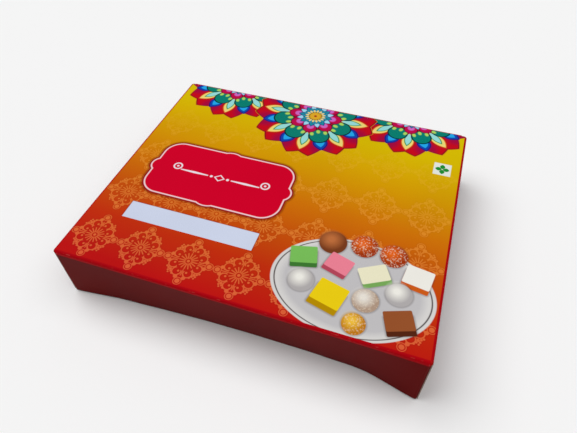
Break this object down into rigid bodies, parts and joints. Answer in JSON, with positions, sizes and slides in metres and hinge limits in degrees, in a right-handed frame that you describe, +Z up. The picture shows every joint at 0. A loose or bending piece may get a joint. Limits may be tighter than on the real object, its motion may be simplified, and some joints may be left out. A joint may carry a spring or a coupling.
{
  "type": "folding sweet box",
  "caption": "Flat folding box of printed board for sweets, with a pasted tray and a lid hinged on a back crease, whose skirts close over the tray.",
  "frame": {"origin": "middle of the closed box's footprint, on the table", "axes": "+X to the right along the front, +Y from the front skirt to the hinge crease, +Z up"},
  "size_m": [0.24, 0.2, 0.045],
  "materials": {
    "printed_top": "satin coated print on board, yellow to red",
    "printed_side": "satin coated print on board, dark maroon",
    "tray_board": "matte uncoated greyish board"
  },
  "bodies": {
    "tray": {"tray_base": "tray_board", "tray_front_wall": "tray_board", "tray_back_wall": "printed_side", "tray_left_wall": "tray_board", "tray_right_wall": "tray_board", "tray_front_left_web": "tray_board", "tray_front_right_web": "tray_board", "tray_back_left_web": "tray_board", "tray_back_right_web": "tray_board", "hinge_crease": "printed_side"},
    "lid": {"lid_top": "printed_top", "lid_front_skirt": "printed_side", "lid_left_skirt": "printed_side", "lid_right_skirt": "printed_side", "lid_left_web": "printed_side", "lid_right_web": "printed_side"}
  },
  "joints": [
    {"name": "lid_hinge", "type": "hinge", "parent": "tray", "child": "lid", "pos_m": [0, 0.09975, 0.04475], "axis": [-1, 0, 0], "range_deg": [0, 190]}
  ]
}
